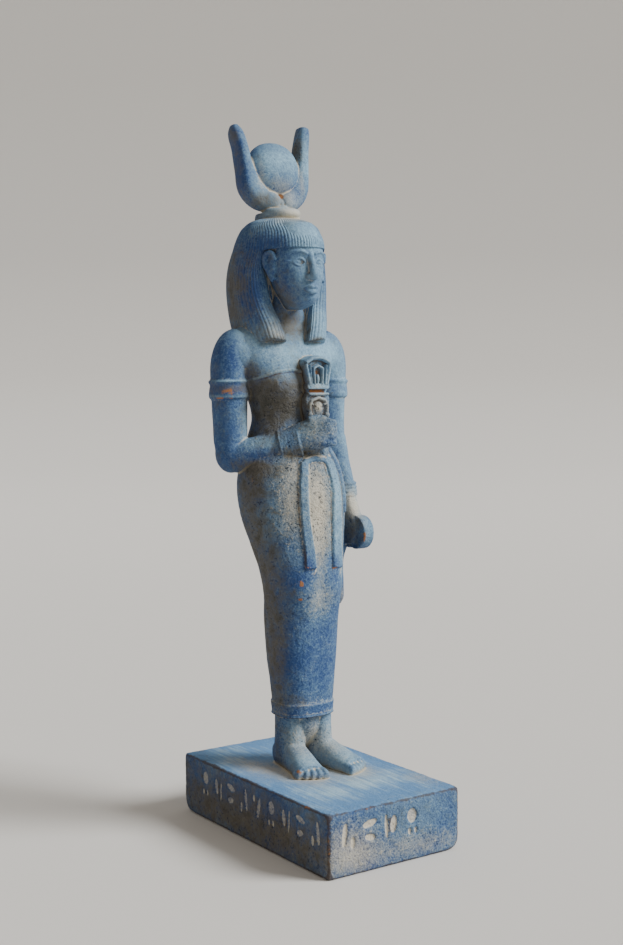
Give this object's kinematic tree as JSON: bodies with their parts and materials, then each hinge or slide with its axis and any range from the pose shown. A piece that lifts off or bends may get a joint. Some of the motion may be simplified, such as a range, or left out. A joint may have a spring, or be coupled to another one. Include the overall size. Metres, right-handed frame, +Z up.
{
  "type": "hathor statue",
  "caption": "Standing figure of a goddess with long wig, horned disc crown and a rattle held to the chest, carved in one with its oblong plinth.",
  "frame": {"origin": "middle of the plinth's underside", "axes": "+Z up, the figure faces -Y along the plinth's length, +X is the figure's left"},
  "size_m": [0.071, 0.113, 0.305],
  "materials": {
    "blue_stone": "matte blue coating with pale dust in the hollows"
  },
  "bodies": {
    "root": {"statue": "blue_stone"}
  },
  "joints": []
}
